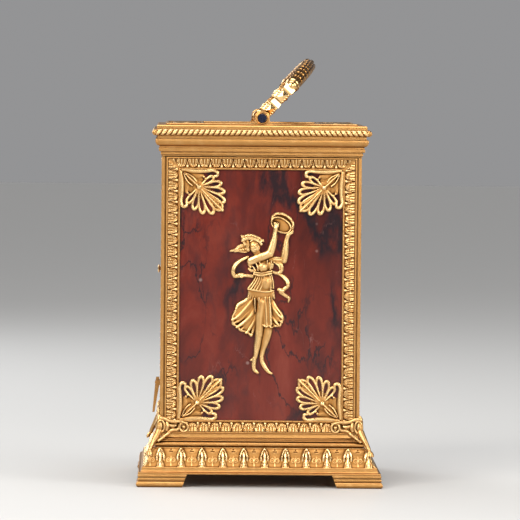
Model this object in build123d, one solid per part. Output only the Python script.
"""A carriage clock: a gilt case with marble sides, a hinged carrying handle and a going movement.

Millimetres. +Z is up, the dial faces -Y, and the origin is at the middle of the base, on the table.
"left" is the -X side, on the left of someone who reads the dial.
"""
from build123d import *
from math import atan2, cos, degrees, hypot, pi, radians, sin, sqrt
import os

# ---------------------------------------------------------------- driving dimensions
BODY_W = 106.0           # case body across X
BODY_D = 96.0            # case body across Y
BODY_H = 133.2           # height of the four framed sides

FOOT_H = 6.2             # bracket feet
FASCIA_H = 3.4           # smooth lowest member of the base
LEAF_H = 9.1             # ogee that carries the leaf band
TORUS_H = 3.4
CAVETTO_H = 1.2
NECK_H = 1.9
FRIEZE_H = 2.4
STEP_H = 1.9
COVE_H = 1.0
OVOLO_H = 3.3
RECESS_H = 1.5
BEAD_H = 3.0
TOP_H = 2.0
BORDER_H = 1.3           # cast border laid on the top plate

FOOT_OUT = 11.2          # how far each member stands out from the body's faces
FASCIA_OUT = 10.2
LEAF_OUT = 8.2
TORUS_OUT = 2.4
NECK_OUT = -0.5
STEP_OUT = 1.5
OVOLO_OUT = 3.1
BEAD_OUT = 5.0
TOP_OUT = 2.5
BORDER_IN = 1.5          # the border stops this far inside the body's front and back
BORDER_HALF_W = 40.0     # and this far out across X, to leave the handle's arms room

FOOT_LEG = 22.0          # a foot's length along each side
FOOT_WIDTH = 9.0         # and its width
RING_WALL = 9.0          # wall of the moulded rings
PLATE_T = 2.5            # base plate

POST = 9.0               # corner posts
POST_EDGE = 2.0          # the part of a post that shows beside the frames
QUIRK = 0.6              # groove between that edge and a frame
QUIRK_DEPTH = 1.2
BAND = 7.0               # width of the cast band round each side
FRAME_T = 1.5
PANEL_T = 4.0            # marble
PANEL_LAP = 2.5          # how far the marble runs behind its frame

DIAL_Z = 105.6           # height of the hands' centre
GLASS_R = 31.0
GLASS_RISE = 4.0
GLASS_T = 1.2
GLASS_PROUD = 1.3        # the glass stands this far in front of the front frame
BEZEL_WALL = 1.7
BEZEL_FLANGE = 4.3
BEZEL_PROUD = 1.4        # in front of the marble
DIAL_T = 1.5
DIAL_SET = 0.5           # the dial lies this far behind the marble

HANDLE_TILT = 42.4       # the handle leans forward from upright by this, degrees
HANDLE_ARM = 21.0        # pivot to where the bow starts
HANDLE_RISE = 13.3       # rise of the bow between the arms
HANDLE_R = 3.7           # the bow's thickness, as a radius
EAR_R = 3.6
EAR_T = 4.0
EAR_X = 50.0             # middle of each ear
EAR_LIFT = 3.6           # pivot above the top plate
BOSS_R = 3.2             # the handle's ends
SCREW_R = 2.1

DOOR_GAP = 0.4
DOOR_T = 2.6
DOOR_BAND = 7.6
HINGE_PIN_R = 0.6
RUN = 0.05               # radial running clearance of every pivot

MOVE_W = 62.0            # movement plates
MOVE_TOP = 140.5
MOVE_T = 2.5
FRONT_PLATE_Y = -27.0    # front face of the front plate
PLATE_SPACE = 35.0       # between the plates
PIVOT_R = 0.5

ADDENDUM = 0.5           # of the module
DEDENDUM = 0.85
WHEEL_TOOTH = 0.40       # tooth thickness as a share of the pitch
LEAF_TOOTH = 0.34

FIGURE_T = 3.6           # dancer
PALMETTE_T = 1.6
PALMETTE = 22.0          # along each edge, on the sides
FRONT_PALMETTE = 19.0    # smaller beside the dial

MOUNT_T = 1.6            # corner mounts: how far they stand off the body
MOUNT_ARM = 6.5          # a cartouche's reach along each face
MOUNT_H = 6.8
MOUNT_KNOB_R = 1.7
VOLUTE_REACH = 11.0      # corner to a volute's middle
VOLUTE_RISE = 3.1
VOLUTE_R = 2.4
VOLUTE_BAR = 1.2         # thickness of the bar behind a volute
VOLUTE_BAR_HALF = 1.9
KNEE = 3.0               # a leg's side at the knee
ANKLE = 3.2              # and at the ankle
PAW = (5.4, 7.6, 3.4)
PAW_OUT = 5.0

TOP_GLASS_W = 34.0       # half sizes of the opening over the escapement
TOP_GLASS_D = 26.0
TOP_GLASS_LAP = 3.0
TOP_GLASS_T = 2.2
BORDER_MARGIN = 1.5      # between that opening and the border

SCREW_HEAD = 0.8
SCREW_SLOT = 0.6
SCREW_SHANK_R = 1.3
SCREW_REACH = 4.0        # how far a screw runs into the handle
EAR_TOE = 2.0            # an ear's foot runs out this far each way
EAR_FOOT_H = 0.8
HANDLE_GAP = 0.3         # between an ear and the handle
ARM_T = 6.4              # the handle's boss across X
ARM_HALF = (2.4, 2.5)
ARM_BLOCK_HALF = (3.1, 3.1, 2.2)
ARM_BLOCKS = (9.9, 19.4)  # heights of the square blocks above the pivot

DOOR_SET = 0.2           # the door lies this far inside the rear frame's face
DOOR_GLASS_T = 1.8
HINGE_PIN_IN = 3.0       # a pin's reach into the door
KNOB_IN = 3.8            # knob and latch, from the door's free edge
KNOB_Z = 104.0
KNOB_STEM = (1.2, 0.8)   # radius and length
KNOB_HEAD = (2.0, 1.9)
LATCH_Z = 49.0
LATCH_PIN_OUT = 1.6      # pin in front of the door
LATCH_PIN_R = 0.5
CHEEK_R = 1.2
CHEEK_X = (1.5, 2.4)
LATCH_HALF_W = 1.3
LATCH_NOSE = 2.6
LATCH_BLADE = 14.4

BARREL_T, CENTRE_LEAVES, BARREL_M = 84, 12, 0.55      # teeth, leaves and module of each pair
CENTRE_T, THIRD_LEAVES, CENTRE_M = 80, 10, 0.42
THIRD_T, CONTRATE_LEAVES, THIRD_M = 75, 10, 0.38
CONTRATE_T, ESCAPE_LEAVES, CONTRATE_M = 70, 7, 0.30
CANNON_T, MINUTE_T, MINUTE_M = 12, 36, 0.35
MINUTE_LEAVES, HOUR_T = 10, 40
ESCAPE_T = 15
THIRD_TURN = radians(135)
HUB_R = 1.0
CENTRE_R = 1.0
STUD_R = 0.6
WINDING_R = 2.4
WINDING_SQUARE = 3.4
WINDING_LENGTH = 9.6
CLICK_PIN_R = 0.8
CLICK_AT = (15.0, 15.5)  # from the barrel's arbor
PILLAR_R = 2.6
PILLAR_END_R = 1.4
PILLAR_IN = (4.5, 6.0)   # from a plate's edges
RATCHET_T, RATCHET_R = 24, 8.5
RATCHET_THICK = 1.4
DRUM_WALL = 1.2
DRUM_LID = 1.5

CANNON_PIPE_R = 1.5
HOUR_PIPE_R = 2.3
PIPE_SEAT = 0.2          # a hand's seat is this much smaller than its pipe
HAND_T = 0.5
MINUTE_CLEAR = 5.0       # from a hand's tip to the edge of the glass
HOUR_CLEAR = 13.5
MINUTE_AT, HOUR_AT = 54.0, 304.5         # nine minutes past ten, clockwise from twelve

ESCAPE_TIP_R = 4.4
BALANCE_R = 7.6
BALANCE_RIM = 1.1
FINE_R = 0.35            # the escapement's pivots
PLATFORM_HALF = 14.0
PLATFORM_T = 1.6

# ---------------------------------------------------------------- levels and faces worked out
Z_FASCIA = FOOT_H
Z_LEAF = Z_FASCIA + FASCIA_H
Z_TORUS = Z_LEAF + LEAF_H
Z_CAVETTO = Z_TORUS + TORUS_H
Z_NECK = Z_CAVETTO + CAVETTO_H
Z_BODY = Z_NECK + NECK_H
Z_FRIEZE = Z_BODY + BODY_H
Z_STEP = Z_FRIEZE + FRIEZE_H
Z_COVE = Z_STEP + STEP_H
Z_OVOLO = Z_COVE + COVE_H
Z_RECESS = Z_OVOLO + OVOLO_H
Z_BEAD = Z_RECESS + RECESS_H
Z_TOP = Z_BEAD + BEAD_H
Z_BORDER = Z_TOP + TOP_H
Z_BORDER_TOP = Z_BORDER + BORDER_H

HALF_W = BODY_W / 2
HALF_D = BODY_D / 2
FRAME_HALF_W = HALF_W - POST_EDGE        # front and back frames across X
FRAME_HALF_D = HALF_D - POST_EDGE        # side frames across Y
OPEN_HALF_W = FRAME_HALF_W - BAND
OPEN_HALF_D = FRAME_HALF_D - BAND
Z_OPEN_LOW = Z_BODY + BAND - 0.5
Z_OPEN_HIGH = Z_FRIEZE - BAND + 0.8

SIDE_FACE = HALF_W - FRAME_T             # marble's outer face on the sides
FRONT_FACE = HALF_D - FRAME_T            # marble's outer face at the front
PIVOT_Z = Z_BORDER + EAR_LIFT
BACK_PLATE_Y = FRONT_PLATE_Y + MOVE_T + PLATE_SPACE
GLASS_BALL = (GLASS_R ** 2 + GLASS_RISE ** 2) / (2 * GLASS_RISE)
GLASS_APEX_Y = -HALF_D - GLASS_PROUD
GLASS_RIM_Y = GLASS_APEX_Y + GLASS_RISE
DIAL_FRONT_Y = -FRONT_FACE + PANEL_T + DIAL_SET

ARM_OUT = EAR_X - EAR_T / 2 - HANDLE_GAP  # outer face of a handle arm
ARM_X = ARM_OUT - ARM_T / 2

DOOR_HALF_W = OPEN_HALF_W - DOOR_GAP
Z_DOOR_LOW = Z_OPEN_LOW + DOOR_GAP
Z_DOOR_HIGH = Z_OPEN_HIGH - DOOR_GAP
DOOR_BACK_Y = HALF_D - DOOR_SET
HINGE_X = DOOR_HALF_W - DOOR_T / 2
HINGE_Y = DOOR_BACK_Y - DOOR_T / 2
FREE_EDGE_X = -DOOR_HALF_W + KNOB_IN     # the knob and the latch stand on this line
LATCH_PIN_Y = DOOR_BACK_Y + LATCH_PIN_OUT

BARREL_GAP = BARREL_M * (BARREL_T + CENTRE_LEAVES) / 2
CENTRE_GAP = CENTRE_M * (CENTRE_T + THIRD_LEAVES) / 2
THIRD_GAP = THIRD_M * (THIRD_T + CONTRATE_LEAVES) / 2
MINUTE_GAP = MINUTE_M * (CANNON_T + MINUTE_T) / 2
HOUR_M = 2 * MINUTE_GAP / (MINUTE_LEAVES + HOUR_T)

CENTRE = (0.0, DIAL_Z)
BARREL = (0.0, DIAL_Z - BARREL_GAP)
THIRD = (CENTRE_GAP * cos(THIRD_TURN), DIAL_Z + CENTRE_GAP * sin(THIRD_TURN))
CONTRATE = (0.0, THIRD[1] + sqrt(THIRD_GAP ** 2 - THIRD[0] ** 2))
MINUTE = (MINUTE_GAP, DIAL_Z)
CLICK = (CLICK_AT[0], BARREL[1] + CLICK_AT[1])
PILLAR_Z = (Z_BODY + PILLAR_IN[1], MOVE_TOP - PILLAR_IN[1])
PILLARS = [(side * (MOVE_W / 2 - PILLAR_IN[0]), z) for side in (-1, 1) for z in PILLAR_Z]

MOVE_FRONT = FRONT_PLATE_Y + MOVE_T      # inside faces of the plates
MOVE_BACK = BACK_PLATE_Y
RATCHET_Y = MOVE_BACK + MOVE_T + 0.3
BARREL_Y = (MOVE_BACK - 20.0, MOVE_BACK - 3.0)
CENTRE_WHEEL_Y = (MOVE_FRONT + 9.0, MOVE_FRONT + 10.2)
THIRD_WHEEL_Y = (MOVE_FRONT + 5.0, MOVE_FRONT + 6.0)
CONTRATE_Y = MOVE_BACK - 14.5

CONTRATE_R = CONTRATE_T * CONTRATE_M / 2
ESCAPE_R = ESCAPE_LEAVES * CONTRATE_M / 2
CROWN_TIP_Y = CONTRATE_Y + 3.8
ESCAPE_Y = CROWN_TIP_Y - ADDENDUM * CONTRATE_M + ESCAPE_R
LEVER_Y = ESCAPE_Y - 7.4
BALANCE_Y = ESCAPE_Y - 15.0
PLATFORM_Z = (MOVE_TOP, MOVE_TOP + PLATFORM_T)
ESCAPE_LAYER = (PLATFORM_Z[1] + 1.2, PLATFORM_Z[1] + 1.7)
BALANCE_LAYER = (PLATFORM_Z[1] + 4.0, PLATFORM_Z[1] + 5.0)
SPRING_LAYER = (PLATFORM_Z[1] + 6.0, PLATFORM_Z[1] + 6.5)
COCK_LAYER = (PLATFORM_Z[1] + 7.4, PLATFORM_Z[1] + 9.0)
BRIDGE_LAYER = (PLATFORM_Z[1] + 2.4, PLATFORM_Z[1] + 3.2)
PINION_Z = (CONTRATE[1] + CONTRATE_R - 1.0, CONTRATE[1] + CONTRATE_R + 1.0)
HANGER_LAYER = (PINION_Z[0] - 1.2, PINION_Z[0] - 0.3)

MOTION_BACK = FRONT_PLATE_Y - 0.6
CANNON_Y = (MOTION_BACK - 1.6, MOTION_BACK)
HOUR_Y = (MOTION_BACK - 3.6, MOTION_BACK - 2.4)
HOUR_HAND_Y = (DIAL_FRONT_Y - 1.1 - HAND_T, DIAL_FRONT_Y - 1.1)
MINUTE_HAND_Y = (DIAL_FRONT_Y - 2.4 - HAND_T, DIAL_FRONT_Y - 2.4)
CANNON_FRONT = MINUTE_HAND_Y[0] - 0.6


# ---------------------------------------------------------------- helpers
def block(x0, x1, y0, y1, z0, z1):
    """A box from its two corners."""
    return Pos(x0, y0, z0) * Box(x1 - x0, y1 - y0, z1 - z0, align=(Align.MIN,) * 3)


def along_y(face, y0, y1):
    """A flat outline drawn in (x, z), given thickness from y0 to y1."""
    return extrude(Plane(origin=(0, y1, 0), x_dir=(1, 0, 0), z_dir=(0, -1, 0)) * face, y1 - y0)


def along_x(face, x0, x1):
    """A flat outline drawn in (y, z), given thickness from x0 to x1."""
    return extrude(Plane(origin=(x0, 0, 0), x_dir=(0, 1, 0), z_dir=(1, 0, 0)) * face, x1 - x0)


def rod_y(x, z, radius, y0, y1):
    """A round bar along Y."""
    return along_y(Pos(x, z) * Circle(radius), y0, y1)


def rod_x(y, z, radius, x0, x1):
    """A round bar along X."""
    return along_x(Pos(y, z) * Circle(radius), x0, x1)


def rod_z(x, y, radius, z0, z1):
    """A round bar along Z."""
    return Pos(x, y, z0) * Cylinder(radius, z1 - z0, align=(Align.CENTER, Align.CENTER, Align.MIN))


def polygon(points):
    """A flat face with straight sides."""
    return make_face(Polyline(*points, close=True))


def ring_outline(outline, half):
    """The section of a moulding that runs round the case, mirrored about the middle.

    outline is a list of (stand-out, z, bulge of the stretch that leads there).
    """
    right = Curve()
    for (o0, z0, _), (o1, z1, bulge) in zip(outline, outline[1:]):
        start, end = (half + o0, z0), (half + o1, z1)
        right += SagittaArc(start, end, bulge) if bulge else Line(start, end)
    foot, head = half + outline[0][0], half + outline[-1][0]
    low = Line((-foot, outline[0][1]), (foot, outline[0][1]))
    high = Line((-head, outline[-1][1]), (head, outline[-1][1]))
    return make_face(right + mirror(right, Plane.YZ) + low + high)


def moulded(outline, hole_w, hole_d, half_w=HALF_W, half_d=HALF_D):
    """A mitred moulding with a clear rectangular middle, set out from a body's half sizes."""
    reach = 2 * BODY_W
    solid = along_y(ring_outline(outline, half_w), -reach, reach)
    solid &= along_x(ring_outline(outline, half_d), -reach, reach)
    z0, z1 = outline[0][1], outline[-1][1]
    return solid - block(-hole_w, hole_w, -hole_d, hole_d, z0 - 1, z1 + 1)


def mirrored_x(shape):
    return mirror(shape, Plane.YZ)


def mirrored_y(shape):
    return mirror(shape, Plane.XZ)


def toothed(teeth, module, share, first):
    """A spur outline with straight-sided teeth. One tooth points at the angle first, in radians."""
    pitch_r = teeth * module / 2
    tip_r, root_r = pitch_r + ADDENDUM * module, pitch_r - DEDENDUM * module
    half = share * pi / teeth
    points = []
    for n in range(teeth):
        middle = first + 2 * pi * n / teeth
        for radius, turn in ((root_r, -1.12), (tip_r, -0.62), (tip_r, 0.62), (root_r, 1.12)):
            points.append((radius * cos(middle + turn * half), radius * sin(middle + turn * half)))
    return polygon(points)


def spokes(radius_in, radius_out, count, width):
    """The gaps between a wheel's arms."""
    gaps = Circle(radius_out) - Circle(radius_in)
    for n in range(count):
        gaps -= Rot(0, 0, 360 * n / count) * Pos(radius_out / 2, 0) * Rectangle(radius_out, width)
    return gaps


def spiral(radius_in, pitch, turns, thick):
    """A flat strip wound into a spiral, as an outline."""
    steps = int(turns * 18)
    line = [(radius_in + pitch * n / 18, 2 * pi * n / 18) for n in range(steps + 1)]
    inner = [((r - thick / 2) * cos(a), (r - thick / 2) * sin(a)) for r, a in line]
    outer = [((r + thick / 2) * cos(a), (r + thick / 2) * sin(a)) for r, a in reversed(line)]
    return polygon(inner + outer)


# ---------------------------------------------------------------- base
def bracket_feet():
    """Four L-shaped feet with a torus below and two reeds above."""
    reeds = ((0.0, 2.9, 0.0), (2.9, 3.1, 1.2), (3.1, 4.8, 0.7), (4.8, 5.0, 1.4), (5.0, FOOT_H, 0.8))
    foot = None
    for z0, z1, back in reeds:
        x1, y1 = HALF_W + FOOT_OUT - back, HALF_D + FOOT_OUT - back
        x0, y0 = HALF_W + FOOT_OUT - FOOT_LEG, HALF_D + FOOT_OUT - FOOT_LEG
        inner_x, inner_y = HALF_W + FOOT_OUT - FOOT_WIDTH, HALF_D + FOOT_OUT - FOOT_WIDTH
        layer = block(x0, x1, inner_y, y1, z0, z1) + block(inner_x, x1, y0, y1, z0, z1)
        foot = layer if foot is None else foot + layer
    pair = [foot, mirrored_x(foot)]
    return Compound(pair + [mirrored_y(f) for f in pair])


def base_moulding():
    outline = [(FASCIA_OUT, Z_FASCIA, 0), (FASCIA_OUT, Z_FASCIA + 0.8, 0), (LEAF_OUT, Z_LEAF, -0.5)]
    return moulded(outline, HALF_W - RING_WALL, HALF_D - RING_WALL)


def leaf_moulding():
    """The ogee: hollow below, full above."""
    middle_out, middle_z = (LEAF_OUT + TORUS_OUT) / 2, Z_LEAF + LEAF_H * 0.45
    outline = [(LEAF_OUT, Z_LEAF, 0), (middle_out, middle_z, -0.6), (TORUS_OUT, Z_TORUS, 0.7)]
    return moulded(outline, HALF_W - RING_WALL, HALF_D - RING_WALL)


def step_moulding():
    outline = [
        (TORUS_OUT - 1.0, Z_TORUS, 0),
        (TORUS_OUT - 1.0, Z_TORUS + 0.2, 0),
        (TORUS_OUT - 1.0, Z_CAVETTO, 1.2),
        (NECK_OUT, Z_NECK, -0.3),
        (NECK_OUT, Z_BODY, 0),
    ]
    return moulded(outline, HALF_W - RING_WALL, HALF_D - RING_WALL)


def base_plate():
    """Closes the base and carries the movement. It lies inside the neck."""
    half_w, half_d = HALF_W - RING_WALL, HALF_D - RING_WALL
    return block(-half_w, half_w, -half_d, half_d, Z_BODY - PLATE_T, Z_BODY)


def paw_mount():
    """The back left corner's mount: a cartouche on the corner, a volute on each face, a leg and a paw."""
    x, y = -HALF_W, HALF_D
    top = Z_BODY + MOUNT_H
    body = block(x - MOUNT_T, x, y - MOUNT_ARM, y + MOUNT_T, Z_BODY, top)
    body += block(x, x + MOUNT_ARM, y, y + MOUNT_T, Z_BODY, top)
    body += rod_x(y - 1.2, top + 0.2, MOUNT_KNOB_R, x - MOUNT_T, x)
    eye_z = Z_BODY + VOLUTE_RISE
    bar_z = (eye_z - VOLUTE_BAR_HALF, eye_z + VOLUTE_BAR_HALF)
    bar_start = MOUNT_ARM - 0.5
    body += block(x - VOLUTE_BAR, x, y - VOLUTE_REACH, y - bar_start, *bar_z)
    body += rod_x(y - VOLUTE_REACH, eye_z, VOLUTE_R, x - MOUNT_T, x)
    body += block(x + bar_start, x + VOLUTE_REACH, y, y + VOLUTE_BAR, *bar_z)
    body += rod_y(x + VOLUTE_REACH, eye_z, VOLUTE_R, y, y + MOUNT_T)
    knee = Plane(origin=(x - 0.6, y + 0.6, Z_BODY + 1.2)) * Rectangle(KNEE, KNEE)
    ankle = Plane(origin=(x - 4.6, y + 4.6, Z_LEAF + 8.0)) * Rectangle(ANKLE, ANKLE)
    body += loft([ankle, knee])
    paw = Pos(x - PAW_OUT, y + PAW_OUT, Z_LEAF + 6.3) * Rot(0, 0, 45) * Box(*PAW)
    case = block(-HALF_W, HALF_W, -HALF_D, HALF_D, Z_TORUS, Z_FRIEZE)
    return body + paw - leaf_moulding() - step_moulding() - case


# ---------------------------------------------------------------- case body
def corner_posts():
    """Four posts. Each is cut back behind the frames, so only its edge shows."""
    low_x, low_y = HALF_W - POST, HALF_D - POST
    post = block(low_x, HALF_W, low_y, HALF_D, Z_BODY, Z_FRIEZE)
    post -= block(low_x - 1, FRAME_HALF_W, HALF_D - FRAME_T, HALF_D + 1, Z_BODY - 1, Z_FRIEZE + 1)
    post -= block(HALF_W - FRAME_T, HALF_W + 1, low_y - 1, FRAME_HALF_D, Z_BODY - 1, Z_FRIEZE + 1)
    marble_x, marble_y = OPEN_HALF_W + PANEL_LAP, OPEN_HALF_D + PANEL_LAP
    post -= block(low_x - 1, marble_x, FRONT_FACE - PANEL_T, HALF_D, Z_BODY - 1, Z_FRIEZE + 1)
    post -= block(SIDE_FACE - PANEL_T, HALF_W, low_y - 1, marble_y, Z_BODY - 1, Z_FRIEZE + 1)
    groove_x, groove_y = FRAME_HALF_W + QUIRK, FRAME_HALF_D + QUIRK
    post -= block(FRAME_HALF_W, groove_x, HALF_D - QUIRK_DEPTH, HALF_D + 1, Z_BODY - 1, Z_FRIEZE + 1)
    post -= block(HALF_W - QUIRK_DEPTH, HALF_W + 1, FRAME_HALF_D, groove_y, Z_BODY - 1, Z_FRIEZE + 1)
    pair = [post, mirrored_x(post)]
    return Compound(pair + [mirrored_y(p) for p in pair])


def band_frame(half, open_half):
    """The outline of a cast frame round one face of the case."""
    whole = Pos(0, (Z_BODY + Z_FRIEZE) / 2) * Rectangle(2 * half, BODY_H)
    gap_h = Z_OPEN_HIGH - Z_OPEN_LOW
    return whole - Pos(0, (Z_OPEN_LOW + Z_OPEN_HIGH) / 2) * Rectangle(2 * open_half, gap_h)


def panel_outline(open_half):
    """The marble's outline: the frame's opening and its lap all round."""
    height = Z_OPEN_HIGH - Z_OPEN_LOW + 2 * PANEL_LAP
    return Pos(0, (Z_OPEN_LOW + Z_OPEN_HIGH) / 2) * Rectangle(2 * (open_half + PANEL_LAP), height)


def side_frame():
    return along_x(band_frame(FRAME_HALF_D, OPEN_HALF_D), -HALF_W, -SIDE_FACE)


def side_panel():
    return along_x(panel_outline(OPEN_HALF_D), -SIDE_FACE, -SIDE_FACE + PANEL_T)


def front_frame():
    return along_y(band_frame(FRAME_HALF_W, OPEN_HALF_W), -HALF_D, -FRONT_FACE)


def front_panel():
    hole = Pos(0, DIAL_Z) * Circle(GLASS_R + BEZEL_WALL)
    return along_y(panel_outline(OPEN_HALF_W) - hole, -FRONT_FACE, -FRONT_FACE + PANEL_T)


def back_frame():
    """The rear frame, bored for the door's two pivot pins."""
    frame = along_y(band_frame(FRAME_HALF_W, OPEN_HALF_W), FRONT_FACE, HALF_D)
    for z0, z1 in ((Z_OPEN_LOW - 3, Z_OPEN_LOW + 1), (Z_OPEN_HIGH - 1, Z_OPEN_HIGH + 3)):
        frame -= rod_z(HINGE_X, HINGE_Y, HINGE_PIN_R, z0, z1)
    return frame


# ---------------------------------------------------------------- ornament on the marble
def limb(points, widths):
    """A tapering limb through the points, as an outline in (u, z)."""
    shape = None
    for (a, ra), (b, rb) in zip(zip(points, widths), zip(points[1:], widths[1:])):
        length, turn = hypot(b[0] - a[0], b[1] - a[1]), degrees(atan2(b[1] - a[1], b[0] - a[0]))
        bar = Pos(*a) * Rot(0, 0, turn) * polygon([(0, -ra), (length, -rb), (length, rb), (0, ra)])
        piece = bar + Pos(*a) * Circle(ra) + Pos(*b) * Circle(rb)
        shape = piece if shape is None else shape + piece
    return shape


def figure_outline():
    """A dancer who lifts a tambourine, u towards the dial, z up."""
    head = Pos(-4.5, 116.4) * Circle(4.0)
    hair = limb([(-5.5, 117.0), (-12.5, 114.0)], [3.2, 1.4])
    neck = limb([(-4.0, 112.5), (-1.5, 108.5)], [1.8, 2.4])
    chest = limb([(-1.0, 107.0), (2.4, 99.5), (1.5, 92.0)], [5.2, 5.0, 6.6])
    near_arm = limb([(-3.5, 108.0), (3.6, 112.6), (7.0, 125.0)], [2.1, 1.9, 1.4])
    far_arm = limb([(3.5, 107.5), (10.6, 109.0), (13.4, 121.5)], [2.0, 1.7, 1.3])
    tambourine = Pos(10.0, 126.4) * Rot(0, 0, -25) * Ellipse(4.9, 4.0)
    skirt = polygon([(-5.5, 93), (-11, 86), (-14.2, 79.5), (-10, 74.8), (-5, 72.4), (2, 74.5),
                     (8.6, 76.8), (11.2, 82), (9.5, 89), (7.5, 93)])
    legs = limb([(-1.0, 76.0), (-2.6, 67.0), (-3.0, 61.5)], [3.0, 2.6, 1.6])
    legs += limb([(3.0, 76.0), (-0.5, 68.0), (1.2, 60.5)], [3.0, 2.5, 1.6])
    feet = limb([(-4.2, 60.8), (-1.6, 55.2)], [1.6, 1.2]) + limb([(1.0, 60.0), (5.0, 54.6)], [1.5, 1.1])
    scarf = limb([(-5.0, 109.0), (-12.8, 105.5), (-10.6, 101.3), (-4.0, 100.5)], [1.2, 1.1, 1.1, 1.2])
    scarf += limb([(6.0, 103.0), (12.2, 100.6), (13.4, 97.0), (10.6, 93.6)], [1.2, 1.1, 1.1, 1.6])
    return head + hair + neck + chest + near_arm + far_arm + tambourine + skirt + legs + feet + scarf


def side_figure():
    return along_x(mirror(figure_outline(), Plane.YZ), -SIDE_FACE - FIGURE_T, -SIDE_FACE)


def palmette_outline(size):
    """A fan that fills a corner. The frame's corner is at (0, 0) and the fan opens towards +, +."""
    hub = 0.43 * size
    fan = Pos(hub, hub) * Circle(0.2 * size)
    for n in range(-3, 4):
        length = size * (0.74 - 0.045 * abs(n))
        petal = Pos(length / 2, 0) * SlotOverall(length, 0.125 * size)
        fan += Pos(hub, hub) * Rot(0, 0, 45 + 29 * n) * petal
    stem = Pos(0.23 * size, 0.23 * size) * Rot(0, 0, 45) * Rectangle(0.5 * size, 0.3 * size)
    return fan + (stem & Pos(size / 2, size / 2) * Rectangle(size, size))


def palmette_set(open_half, size):
    """Four palmettes, one in each corner of an opening, drawn in (across, z)."""
    fan = palmette_outline(size)
    low = Pos(-open_half, Z_OPEN_LOW) * fan
    high = mirror(Pos(-open_half, -Z_OPEN_HIGH) * fan, Plane.XZ)
    return [low, high, mirror(low, Plane.YZ), mirror(high, Plane.YZ)]


def side_palmettes():
    outlines = palmette_set(OPEN_HALF_D, PALMETTE)
    return Compound([along_x(p, -SIDE_FACE - PALMETTE_T, -SIDE_FACE) for p in outlines])


def front_palmettes():
    outlines = palmette_set(OPEN_HALF_W, FRONT_PALMETTE)
    return Compound([along_y(p, -FRONT_FACE - PALMETTE_T, -FRONT_FACE) for p in outlines])


# ---------------------------------------------------------------- dial
def turned_y(points, z):
    """A shape turned about the line through (0, z) along Y, from its section (radius, y)."""
    section = Plane(origin=(0, 0, z), x_dir=(1, 0, 0), z_dir=(0, 0, 1)) * polygon(points)
    return revolve(section, Axis((0, 0, z), (0, 1, 0)))


def dial_bezel():
    inner, outer, lip = GLASS_R, GLASS_R + BEZEL_WALL, GLASS_R + BEZEL_FLANGE
    front, face, back = -FRONT_FACE - BEZEL_PROUD, -FRONT_FACE, DIAL_FRONT_Y
    points = [(inner, back), (inner, front), (lip - 1.6, front), (lip, face - 0.5), (lip, face),
              (outer, face), (outer, back)]
    return turned_y(points, DIAL_Z)


def dial_glass():
    """A watch glass: two concentric balls cut to a disc."""
    middle_y = GLASS_APEX_Y + GLASS_BALL
    shell = Pos(0, middle_y, DIAL_Z) * (Sphere(GLASS_BALL) - Sphere(GLASS_BALL - GLASS_T))
    return shell & rod_y(0, DIAL_Z, GLASS_R, GLASS_APEX_Y - 1, GLASS_RIM_Y + GLASS_T)


def dial():
    disc = rod_y(0, DIAL_Z, GLASS_R + BEZEL_WALL + 1.5, DIAL_FRONT_Y, DIAL_FRONT_Y + DIAL_T)
    return disc - rod_y(0, DIAL_Z, HOUR_PIPE_R + 0.6, DIAL_FRONT_Y - 1, DIAL_FRONT_Y + DIAL_T + 1)


# ---------------------------------------------------------------- top
def cornice():
    outline = [
        (-0.4, Z_FRIEZE, 0), (0.6, Z_FRIEZE + 1.0, 0.3), (0.6, Z_STEP - 0.2, 0), (STEP_OUT, Z_STEP + 0.2, 0),
        (STEP_OUT, Z_COVE, 0), (OVOLO_OUT - 1.2, Z_OVOLO, -0.4), (OVOLO_OUT, Z_RECESS, 0.6),
        (OVOLO_OUT - 1.0, Z_RECESS + 0.01, 0), (OVOLO_OUT - 1.0, Z_BEAD, 0),
    ]
    return moulded(outline, HALF_W - RING_WALL, HALF_D - RING_WALL)


def bead_moulding():
    outline = [(BEAD_OUT - 1.4, Z_BEAD, 0), (BEAD_OUT - 1.4, Z_TOP, BEAD_H / 2 - 0.1)]
    return moulded(outline, HALF_W - RING_WALL, HALF_D - RING_WALL)


def top_plate():
    """Its opening is rebated from below for the top glass."""
    outline = [(TOP_OUT, Z_TOP, 0), (TOP_OUT, Z_BORDER - 0.4, 0), (TOP_OUT - 0.4, Z_BORDER, 0)]
    return moulded(outline, TOP_GLASS_W, TOP_GLASS_D)


def top_border():
    outline = [(0, Z_BORDER, 0), (-0.8, Z_BORDER_TOP, 0)]
    hole_w, hole_d = TOP_GLASS_W + BORDER_MARGIN, TOP_GLASS_D + BORDER_MARGIN
    return moulded(outline, hole_w, hole_d, BORDER_HALF_W, HALF_D - BORDER_IN)


def top_glass():
    half_w, half_d = TOP_GLASS_W + TOP_GLASS_LAP, TOP_GLASS_D + TOP_GLASS_LAP
    return block(-half_w, half_w, -half_d, half_d, Z_TOP - TOP_GLASS_T, Z_TOP)


# ---------------------------------------------------------------- handle
def handle_ears():
    """Two standing ears, bored for the handle's screws."""
    x0, x1 = EAR_X - EAR_T / 2, EAR_X + EAR_T / 2
    ear = rod_x(0, PIVOT_Z, EAR_R, x0, x1) + block(x0, x1, -EAR_R, EAR_R, Z_BORDER, PIVOT_Z)
    ear += block(x0, x1, -EAR_R - EAR_TOE, EAR_R + EAR_TOE, Z_BORDER, Z_BORDER + EAR_FOOT_H)
    ear -= rod_x(0, PIVOT_Z, SCREW_SHANK_R, x0 - 1, x1 + 1)
    return Compound([ear, mirrored_x(ear)])


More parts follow.
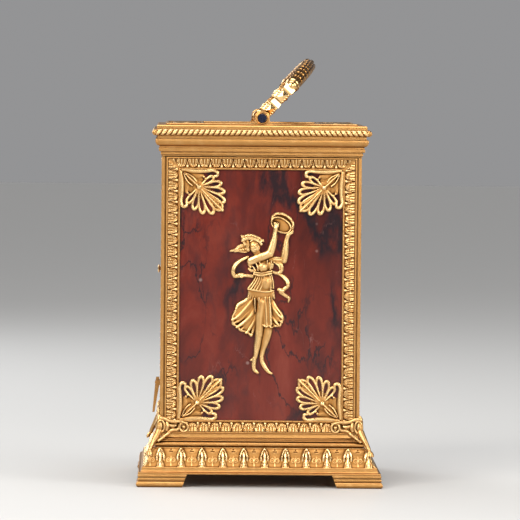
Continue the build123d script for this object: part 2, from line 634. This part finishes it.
def handle_screws():
    """Slotted screws. The shanks are the handle's pivots."""
    face = EAR_X + EAR_T / 2
    slot_z = (PIVOT_Z - SCREW_SLOT / 2, PIVOT_Z + SCREW_SLOT / 2)
    slot = block(face + SCREW_HEAD / 2, face + 2, -SCREW_R - 1, SCREW_R + 1, *slot_z)
    screw = rod_x(0, PIVOT_Z, SCREW_R, face, face + SCREW_HEAD) - slot
    screw += rod_x(0, PIVOT_Z, SCREW_SHANK_R, ARM_OUT - SCREW_REACH, face)
    return Compound([screw, mirrored_x(screw)])


def handle():
    """A bail drawn upright on its pivots, then leaned forward."""
    bow_r = (ARM_X ** 2 + HANDLE_RISE ** 2) / (2 * HANDLE_RISE)
    path = ThreePointArc((-ARM_X, 0, HANDLE_ARM), (0, 0, HANDLE_ARM + HANDLE_RISE), (ARM_X, 0, HANDLE_ARM))
    start = Plane(origin=path @ 0, z_dir=path % 0)
    bail = sweep(start * Circle(HANDLE_R), path)
    for side in (-1, 1):
        x = side * ARM_X
        arm = block(x - ARM_HALF[0], x + ARM_HALF[0], -ARM_HALF[1], ARM_HALF[1], 0, HANDLE_ARM + 1)
        arm += rod_x(0, 0, BOSS_R, x - ARM_T / 2, x + ARM_T / 2)
        for height in ARM_BLOCKS:
            arm += Pos(x, 0, height) * Box(*(2 * half for half in ARM_BLOCK_HALF))
        arm += Pos(x, 0, HANDLE_ARM) * Sphere(HANDLE_R)
        inner, outer = ARM_OUT - SCREW_REACH - 0.2, ARM_OUT + 1
        bore = rod_x(0, 0, SCREW_SHANK_R + RUN, inner, outer)
        bail += arm
        bail -= bore if side > 0 else mirrored_x(bore)
    return Pos(0, 0, PIVOT_Z) * Rot(HANDLE_TILT, 0, 0) * bail


# ---------------------------------------------------------------- rear door
def door_frame():
    """A frame with a rounded hinge edge, so it turns on its pins inside the rear frame."""
    y0, y1 = DOOR_BACK_Y - DOOR_T, DOOR_BACK_Y
    frame = block(-DOOR_HALF_W, HINGE_X, y0, y1, Z_DOOR_LOW, Z_DOOR_HIGH)
    frame += rod_z(HINGE_X, HINGE_Y, DOOR_T / 2, Z_DOOR_LOW, Z_DOOR_HIGH)
    gap_w, z0, z1 = DOOR_HALF_W - DOOR_BAND, Z_DOOR_LOW + DOOR_BAND, Z_DOOR_HIGH - DOOR_BAND
    frame -= block(-gap_w, gap_w, y0 - 1, y1 + 1, z0, z1)
    pin_low, pin_high = Z_DOOR_LOW + HINGE_PIN_IN, Z_DOOR_HIGH - HINGE_PIN_IN
    for low, high in ((Z_DOOR_LOW - 1, pin_low), (pin_high, Z_DOOR_HIGH + 1)):
        frame -= rod_z(HINGE_X, HINGE_Y, HINGE_PIN_R + RUN, low, high)
    return frame


def door_glass():
    half, z0, z1 = DOOR_HALF_W - DOOR_BAND, Z_DOOR_LOW + DOOR_BAND, Z_DOOR_HIGH - DOOR_BAND
    return block(-half, half, HINGE_Y - DOOR_GLASS_T / 2, HINGE_Y + DOOR_GLASS_T / 2, z0, z1)


def door_hinge_pins():
    """Two pins, set in the rear frame, that the door turns on."""
    low = rod_z(HINGE_X, HINGE_Y, HINGE_PIN_R, Z_OPEN_LOW - 3, Z_DOOR_LOW + HINGE_PIN_IN - 0.2)
    high = rod_z(HINGE_X, HINGE_Y, HINGE_PIN_R, Z_DOOR_HIGH - HINGE_PIN_IN + 0.2, Z_OPEN_HIGH + 3)
    return Compound([low, high])


def door_knob():
    stem_end = DOOR_BACK_Y + KNOB_STEM[1]
    knob = rod_y(FREE_EDGE_X, KNOB_Z, KNOB_STEM[0], DOOR_BACK_Y, stem_end)
    return knob + rod_y(FREE_EDGE_X, KNOB_Z, KNOB_HEAD[0], stem_end - 0.2, DOOR_BACK_Y + KNOB_HEAD[1])


def latch_bracket():
    """Two cheeks and the pin between them, on the door."""
    bracket = None
    near, far = CHEEK_X
    for x0, x1 in ((FREE_EDGE_X - far, FREE_EDGE_X - near), (FREE_EDGE_X + near, FREE_EDGE_X + far)):
        cheek = rod_x(LATCH_PIN_Y, LATCH_Z, CHEEK_R, x0, x1)
        cheek += block(x0, x1, DOOR_BACK_Y, LATCH_PIN_Y, LATCH_Z - CHEEK_R, LATCH_Z + CHEEK_R)
        bracket = cheek if bracket is None else bracket + cheek
    return bracket + rod_x(LATCH_PIN_Y, LATCH_Z, LATCH_PIN_R, FREE_EDGE_X - far, FREE_EDGE_X + far)


def latch_lever():
    """A thumb blade that stands off the door, with a short nose above its pin."""
    nose_z, tip_z = LATCH_Z + LATCH_NOSE, LATCH_Z - LATCH_BLADE
    outline = polygon([
        (LATCH_PIN_Y - 0.9, nose_z), (LATCH_PIN_Y + 0.6, nose_z), (LATCH_PIN_Y + 1.0, LATCH_Z),
        (LATCH_PIN_Y + 2.3, tip_z), (LATCH_PIN_Y + 1.3, tip_z), (LATCH_PIN_Y - 0.9, LATCH_Z - 1.5),
    ])
    lever = along_x(outline, FREE_EDGE_X - LATCH_HALF_W, FREE_EDGE_X + LATCH_HALF_W)
    return lever - rod_x(LATCH_PIN_Y, LATCH_Z, LATCH_PIN_R + RUN, FREE_EDGE_X - 2, FREE_EDGE_X + 2)


# ---------------------------------------------------------------- going train

def towards(start, end):
    """The angle from one arbor to another, seen in (x, z)."""
    return atan2(end[1] - start[1], end[0] - start[0])


def wheel(at, teeth, module, phase, y_range, arms=5):
    """A wheel with its arms crossed out."""
    rim = teeth * module / 2 - 2.2 * module - 0.5
    face = toothed(teeth, module, WHEEL_TOOTH, phase) - spokes(2.4, rim, arms, 1.2)
    return along_y(Pos(*at) * face, *y_range)


def pinion(at, leaves, module, phase, y_range):
    return along_y(Pos(*at) * toothed(leaves, module, LEAF_TOOTH, phase), *y_range)


def arbor(at, radius, y0, y1):
    """An arbor between the plates, with a pivot in each plate."""
    bar = rod_y(*at, radius, y0 + 0.4, y1 - 0.4)
    return bar + rod_y(*at, PIVOT_R, y0 - MOVE_T, y1 + MOVE_T)


def movement_plate(y0, y1, winding):
    """A plate with a clear hole for each arbor."""
    width = Pos(0, (Z_BODY + MOVE_TOP) / 2) * Rectangle(MOVE_W, MOVE_TOP - Z_BODY)
    holes = Pos(*THIRD) * Circle(PIVOT_R + RUN) + Pos(*CONTRATE) * Circle(PIVOT_R + RUN)
    if winding:
        holes += Pos(*BARREL) * Circle(WINDING_R + RUN) + Pos(*CENTRE) * Circle(PIVOT_R + RUN)
        holes += Pos(*CLICK) * Circle(CLICK_PIN_R)
    else:
        holes += Pos(*BARREL) * Circle(PIVOT_R * 2 + RUN) + Pos(*CENTRE) * Circle(CENTRE_R + RUN)
        holes += Pos(*MINUTE) * Circle(STUD_R)
    for x, z in PILLARS:
        holes += Pos(x, z) * Circle(PILLAR_END_R)
    return along_y(width - holes, y0, y1)


def movement_pillars():
    """Four pillars. Their ends are riveted through the plates."""
    pillars = []
    for x, z in PILLARS:
        pillar = rod_y(x, z, PILLAR_R, MOVE_FRONT, MOVE_BACK)
        pillars.append(pillar + rod_y(x, z, PILLAR_END_R, MOVE_FRONT - MOVE_T, MOVE_BACK + MOVE_T))
    stud = rod_y(*MINUTE, STUD_R, HOUR_Y[0] - 0.6, MOVE_FRONT)
    pin = rod_y(*CLICK, CLICK_PIN_R, MOVE_BACK, MOVE_BACK + MOVE_T + 2.0)
    return Compound(pillars + [stud, pin])


def barrel():
    """A toothed drum with a lid, bored to turn on the winding arbor."""
    y0, y1 = BARREL_Y
    drum_r = BARREL_T * BARREL_M / 2 - 1.6
    phase = towards(BARREL, CENTRE)
    drum = along_y(Pos(*BARREL) * toothed(BARREL_T, BARREL_M, WHEEL_TOOTH, phase), y0, y0 + 2.0)
    drum += rod_y(*BARREL, drum_r, y0, y1)
    drum -= rod_y(*BARREL, drum_r - DRUM_WALL, y0 + DRUM_LID, y1 - DRUM_LID)
    return drum - rod_y(*BARREL, WINDING_R + RUN, y0 - 1, y1 + 1)


def mainspring():
    strip = spiral(5.0, 1.25, 12, 0.5)
    return along_y(Pos(*BARREL) * strip, BARREL_Y[0] + 2.0, BARREL_Y[1] - 2.0)


def ratchet_outline():
    """Saw teeth."""
    points = []
    for n in range(RATCHET_T):
        for radius, turn in ((RATCHET_R, 0.0), (RATCHET_R - 1.0, 0.06)):
            angle = 2 * pi * (n + turn) / RATCHET_T
            points.append((radius * cos(angle), radius * sin(angle)))
    return polygon(points)


def winding_arbor():
    """Front pivot, body inside the barrel, ratchet wheel behind the back plate and winding square."""
    x, z = BARREL
    bar = rod_y(x, z, WINDING_R, MOVE_FRONT + 0.4, RATCHET_Y)
    bar += rod_y(x, z, PIVOT_R * 2, MOVE_FRONT - MOVE_T, MOVE_FRONT + 0.4)
    square_y = RATCHET_Y + RATCHET_THICK
    bar += along_y(Pos(x, z) * ratchet_outline(), RATCHET_Y, square_y)
    square = Pos(x, z) * Rectangle(WINDING_SQUARE, WINDING_SQUARE)
    return bar + along_y(square, square_y, square_y + WINDING_LENGTH)


def click():
    """A pawl on its pin. Its nose stands just clear of the ratchet's teeth."""
    reach = hypot(CLICK[0] - BARREL[0], CLICK[1] - BARREL[1]) - RATCHET_R - 0.35
    turn = degrees(towards(CLICK, BARREL))
    nose = polygon([(-2.2, -1.8), (2.0, -1.8), (reach, -0.6), (reach, 0.6), (1.0, 2.4), (-2.2, 1.8)])
    face = Pos(*CLICK) * Rot(0, 0, turn) * nose - Pos(*CLICK) * Circle(CLICK_PIN_R + RUN)
    return along_y(face, RATCHET_Y, RATCHET_Y + RATCHET_THICK)


def centre_wheel():
    """Centre arbor with its pinion and wheel. The arbor runs through the front plate to the hands."""
    x, z = CENTRE
    bar = rod_y(x, z, HUB_R + 0.4, CENTRE_WHEEL_Y[0] - 1, MOVE_BACK - 0.4)
    bar += rod_y(x, z, CENTRE_R, CANNON_FRONT, CENTRE_WHEEL_Y[0] - 1)
    bar += rod_y(x, z, PIVOT_R, MOVE_BACK - 0.4, MOVE_BACK + MOVE_T)
    leaf_y = (BARREL_Y[0] - 0.6, BARREL_Y[0] + 2.6)
    bar += pinion(CENTRE, CENTRE_LEAVES, BARREL_M, towards(CENTRE, BARREL) + pi / CENTRE_LEAVES, leaf_y)
    return bar + wheel(CENTRE, CENTRE_T, CENTRE_M, towards(CENTRE, THIRD), CENTRE_WHEEL_Y)


def cannon_pinion():
    """A pipe on the centre arbor that carries the minute hand."""
    phase = towards(CENTRE, MINUTE)
    pipe = pinion(CENTRE, CANNON_T, MINUTE_M, phase, CANNON_Y)
    pipe += rod_y(*CENTRE, CANNON_PIPE_R, MINUTE_HAND_Y[1], CANNON_Y[1])
    pipe += rod_y(*CENTRE, CANNON_PIPE_R - PIPE_SEAT, *MINUTE_HAND_Y)
    return pipe - rod_y(*CENTRE, CENTRE_R, CANNON_FRONT - 1, CANNON_Y[1] + 1)


def minute_wheel():
    """The idle wheel and pinion of the motion work, on a stud."""
    phase = towards(MINUTE, CENTRE) + pi / MINUTE_T
    idle = wheel(MINUTE, MINUTE_T, MINUTE_M, phase, CANNON_Y, 4)
    leaf_y = (HOUR_Y[0] - 0.3, CANNON_Y[0])
    idle += pinion(MINUTE, MINUTE_LEAVES, HOUR_M, towards(MINUTE, CENTRE), leaf_y)
    return idle - rod_y(*MINUTE, STUD_R + RUN, HOUR_Y[0] - 2, CANNON_Y[1] + 1)


def hour_wheel():
    """The hour wheel and its pipe, which turns on the cannon pinion."""
    phase = towards(CENTRE, MINUTE) + pi / HOUR_T
    body = wheel(CENTRE, HOUR_T, HOUR_M, phase, HOUR_Y, 4)
    body += rod_y(*CENTRE, HOUR_PIPE_R, HOUR_HAND_Y[1], HOUR_Y[1])
    body += rod_y(*CENTRE, HOUR_PIPE_R - PIPE_SEAT, *HOUR_HAND_Y)
    return body - rod_y(*CENTRE, CANNON_PIPE_R + RUN, HOUR_HAND_Y[0] - 1, HOUR_Y[1] + 1)


def hand_outline(length, eye, eye_at, waist, boss):
    """A spade hand that points up, with an open eye."""
    shape = Circle(boss) + polygon([(-waist, 0), (waist, 0), (0.22, length), (-0.22, length)])
    shape += Pos(0, eye_at) * Circle(eye)
    return shape - Pos(0, eye_at) * Circle(eye * 0.55)


def hand(outline, bore, y_range, turn):
    """A hand turned clockwise from twelve by turn degrees, as the dial shows it."""
    placed = Pos(*CENTRE) * Rot(0, 0, -turn) * (outline - Circle(bore))
    return along_y(placed, *y_range)


def minute_hand():
    length = GLASS_R - MINUTE_CLEAR
    outline = hand_outline(length, eye=1.7, eye_at=length - 7.0, waist=0.7, boss=2.6)
    return hand(outline, CANNON_PIPE_R - PIPE_SEAT, MINUTE_HAND_Y, MINUTE_AT)


def hour_hand():
    length = GLASS_R - HOUR_CLEAR
    outline = hand_outline(length, eye=2.2, eye_at=length - 5.0, waist=0.9, boss=3.4)
    return hand(outline, HOUR_PIPE_R - PIPE_SEAT, HOUR_HAND_Y, HOUR_AT)


def third_wheel():
    body = arbor(THIRD, HUB_R, MOVE_FRONT, MOVE_BACK)
    leaf_y = (CENTRE_WHEEL_Y[0] - 0.6, CENTRE_WHEEL_Y[1] + 0.6)
    phase = towards(THIRD, CENTRE) + pi / THIRD_LEAVES
    body += pinion(THIRD, THIRD_LEAVES, CENTRE_M, phase, leaf_y)
    return body + wheel(THIRD, THIRD_T, THIRD_M, towards(THIRD, CONTRATE), THIRD_WHEEL_Y)


def contrate_wheel():
    """A crown wheel. Its teeth point along the arbor and drive the upright escape pinion."""
    body = arbor(CONTRATE, HUB_R, MOVE_FRONT, MOVE_BACK)
    leaf_y = (THIRD_WHEEL_Y[0] - 0.5, THIRD_WHEEL_Y[1] + 0.5)
    phase = towards(CONTRATE, THIRD) + pi / CONTRATE_LEAVES
    body += pinion(CONTRATE, CONTRATE_LEAVES, THIRD_M, phase, leaf_y)
    rim_out, rim_in = CONTRATE_R + 0.6, CONTRATE_R - 0.6
    disc = Circle(rim_out) - spokes(2.2, rim_in - 0.5, 4, 1.2)
    body += along_y(Pos(*CONTRATE) * disc, CONTRATE_Y, CONTRATE_Y + 0.9)
    root_y = CROWN_TIP_Y - (ADDENDUM + DEDENDUM) * CONTRATE_M - 0.1
    body += along_y(Pos(*CONTRATE) * (Circle(rim_out) - Circle(rim_in)), CONTRATE_Y, root_y)
    width = WHEEL_TOOTH * pi * CONTRATE_M
    tooth = polygon([(-width * 0.62, root_y - 0.05), (width * 0.62, root_y - 0.05),
                     (width * 0.36, CROWN_TIP_Y), (-width * 0.36, CROWN_TIP_Y)])
    tooth = extrude(Plane(origin=(0, 0, rim_in), x_dir=(1, 0, 0), z_dir=(0, 0, 1)) * tooth, rim_out - rim_in)
    ring = [Rot(0, 360 * (n + 0.5) / CONTRATE_T, 0) * tooth for n in range(CONTRATE_T)]
    placed = Pos(CONTRATE[0], 0, CONTRATE[1])
    for one in ring:
        body += placed * one
    return body


# ---------------------------------------------------------------- platform escapement

def platform():
    """The plate that carries the escapement, with a bridge above and a hanger below for the escape wheel."""
    y0, y1 = FRONT_PLATE_Y, BACK_PLATE_Y + MOVE_T
    plate = block(-PLATFORM_HALF, PLATFORM_HALF, y0, y1, *PLATFORM_Z)
    plate -= rod_z(0, ESCAPE_Y, ESCAPE_R + 0.7, PLATFORM_Z[0] - 1, PLATFORM_Z[1] + 1)
    for y in (LEVER_Y, BALANCE_Y):
        plate -= rod_z(0, y, FINE_R + RUN, PLATFORM_Z[0] - 1, PLATFORM_Z[1] + 1)
    bridge = block(-3, 3, ESCAPE_Y - 1.5, y1 - 0.5, *BRIDGE_LAYER)
    bridge += block(-4, 4, ESCAPE_Y + ESCAPE_TIP_R + 1.0, y1 - 0.5, PLATFORM_Z[1], BRIDGE_LAYER[1])
    bridge -= rod_z(0, ESCAPE_Y, FINE_R + RUN, BRIDGE_LAYER[0] - 1, BRIDGE_LAYER[1] + 1)
    hanger = block(-1.6, 1.6, ESCAPE_Y - 0.6, ESCAPE_Y + 4.0, *HANGER_LAYER)
    hanger += block(-1.6, 1.6, ESCAPE_Y + 2.4, ESCAPE_Y + 4.0, HANGER_LAYER[0], PLATFORM_Z[0])
    hanger -= rod_z(0, ESCAPE_Y, FINE_R + RUN, HANGER_LAYER[0] - 1, HANGER_LAYER[1] + 1)
    return plate + bridge + hanger


def escape_wheel():
    """Escape wheel with slanted teeth, above its pinion."""
    body = rod_z(0, ESCAPE_Y, FINE_R * 2, PINION_Z[0], ESCAPE_LAYER[1] + 0.3)
    body += rod_z(0, ESCAPE_Y, FINE_R, HANGER_LAYER[0], BRIDGE_LAYER[1])
    leaves = toothed(ESCAPE_LEAVES, CONTRATE_M, LEAF_TOOTH, -pi / 2)
    body += extrude(Pos(0, ESCAPE_Y, PINION_Z[0]) * leaves, PINION_Z[1] - PINION_Z[0])
    points = []
    for n in range(ESCAPE_T):
        for radius, turn in ((3.2, 0.0), (ESCAPE_TIP_R, 0.42), (ESCAPE_TIP_R, 0.54), (3.2, 0.40)):
            angle = 2 * pi * (n + turn) / ESCAPE_T
            points.append((radius * cos(angle), radius * sin(angle)))
    face = polygon(points) - spokes(1.2, 2.6, 4, 0.5)
    return body + extrude(Pos(0, ESCAPE_Y, ESCAPE_LAYER[0]) * face, ESCAPE_LAYER[1] - ESCAPE_LAYER[0])


def pallet_lever():
    """The lever between escape wheel and balance. Its pallets stand just clear of the wheel's tips."""
    reach = ESCAPE_Y - LEVER_Y
    z0, z1 = PLATFORM_Z[1] + 0.5, ESCAPE_LAYER[1]
    face = Circle(1.0) + limb([(0, 0), (0, -4.6)], [0.7, 0.5])
    for side in (-1, 1):
        face += limb([(0, 0), (side * 4.2, 2.2)], [0.8, 0.55])
        angle = radians(90) - side * radians(48)
        tip = (4.85 * cos(angle), reach - 4.85 * sin(angle))
        face += limb([(side * 4.2, 2.2), tip], [0.55, 0.35])
    face -= Circle(ESCAPE_TIP_R + 0.35).moved(Location((0, reach, 0)))
    face -= Pos(0, -5.2) * Rectangle(0.55, 1.6)
    body = extrude(Pos(0, LEVER_Y, z0) * face, z1 - z0)
    return body + rod_z(0, LEVER_Y, FINE_R, PLATFORM_Z[0], z1 + 0.6)


def balance():
    """Balance wheel, staff and roller."""
    rim = Circle(BALANCE_R) - Circle(BALANCE_R - BALANCE_RIM) + Rectangle(2 * BALANCE_R - 1, 1.2) + Circle(1.4)
    body = extrude(Pos(0, BALANCE_Y, BALANCE_LAYER[0]) * rim, BALANCE_LAYER[1] - BALANCE_LAYER[0])
    body += rod_z(0, BALANCE_Y, FINE_R, PLATFORM_Z[0], COCK_LAYER[1])
    body += rod_z(0, BALANCE_Y, 0.6, PLATFORM_Z[1] + 0.4, SPRING_LAYER[1] + 0.4)
    return body + rod_z(0, BALANCE_Y, 1.5, PLATFORM_Z[1] + 2.2, PLATFORM_Z[1] + 2.8)


def balance_spring():
    """The hairspring. Its outer end is pinned to the cock's stud."""
    strip = Pos(0, BALANCE_Y) * spiral(1.1, 0.55, 6, 0.16)
    return extrude(Pos(0, 0, SPRING_LAYER[0]) * strip, SPRING_LAYER[1] - SPRING_LAYER[0])


def balance_cock():
    """The arm that holds the balance's top pivot and the spring's stud."""
    far_y = FRONT_PLATE_Y + 0.5
    arm = block(-2.6, 2.6, far_y, BALANCE_Y + 2.2, *COCK_LAYER)
    arm += block(-4.5, 4.5, far_y, BALANCE_Y - BALANCE_R - 0.6, PLATFORM_Z[1], COCK_LAYER[1])
    arm += rod_z(0, BALANCE_Y, 3.0, *COCK_LAYER)
    arm -= rod_z(0, BALANCE_Y, FINE_R + RUN, COCK_LAYER[0] - 1, COCK_LAYER[1] + 1)
    return arm


# ---------------------------------------------------------------- write the nodes
NODES = {
    "bracket_feet": bracket_feet,
    "base_moulding": base_moulding,
    "leaf_moulding": leaf_moulding,
    "step_moulding": step_moulding,
    "base_plate": base_plate,
    "paw_mount_back_left": paw_mount,
    "paw_mount_back_right": lambda: mirrored_x(paw_mount()),
    "paw_mount_front_left": lambda: mirrored_y(paw_mount()),
    "paw_mount_front_right": lambda: mirrored_x(mirrored_y(paw_mount())),
    "corner_posts": corner_posts,
    "side_frame_left": side_frame,
    "side_frame_right": lambda: mirrored_x(side_frame()),
    "side_panel_left": side_panel,
    "side_panel_right": lambda: mirrored_x(side_panel()),
    "figure_left": side_figure,
    "figure_right": lambda: mirrored_x(side_figure()),
    "palmettes_left": side_palmettes,
    "palmettes_right": lambda: mirrored_x(side_palmettes()),
    "palmettes_front": front_palmettes,
    "front_frame": front_frame,
    "front_panel": front_panel,
    "dial_bezel": dial_bezel,
    "dial_glass": dial_glass,
    "dial": dial,
    "back_frame": back_frame,
    "cornice": cornice,
    "bead_moulding": bead_moulding,
    "top_plate": top_plate,
    "top_border": top_border,
    "top_glass": top_glass,
    "handle_ears": handle_ears,
    "handle_screws": handle_screws,
    "handle": handle,
    "door_frame": door_frame,
    "door_glass": door_glass,
    "door_knob": door_knob,
    "door_hinge_pins": door_hinge_pins,
    "latch_bracket": latch_bracket,
    "latch_lever": latch_lever,
    "movement_plate_front": lambda: movement_plate(FRONT_PLATE_Y, MOVE_FRONT, False),
    "movement_plate_back": lambda: movement_plate(MOVE_BACK, MOVE_BACK + MOVE_T, True),
    "movement_pillars": movement_pillars,
    "barrel": barrel,
    "mainspring": mainspring,
    "winding_arbor": winding_arbor,
    "click": click,
    "centre_wheel": centre_wheel,
    "cannon_pinion": cannon_pinion,
    "minute_wheel": minute_wheel,
    "hour_wheel": hour_wheel,
    "minute_hand": minute_hand,
    "hour_hand": hour_hand,
    "third_wheel": third_wheel,
    "contrate_wheel": contrate_wheel,
    "platform": platform,
    "escape_wheel": escape_wheel,
    "pallet_lever": pallet_lever,
    "balance": balance,
    "balance_spring": balance_spring,
    "balance_cock": balance_cock,
}

os.makedirs("parts", exist_ok=True)
for name, make in NODES.items():
    export_step(make(), f"parts/{name}.step")
print(len(NODES), "nodes written")
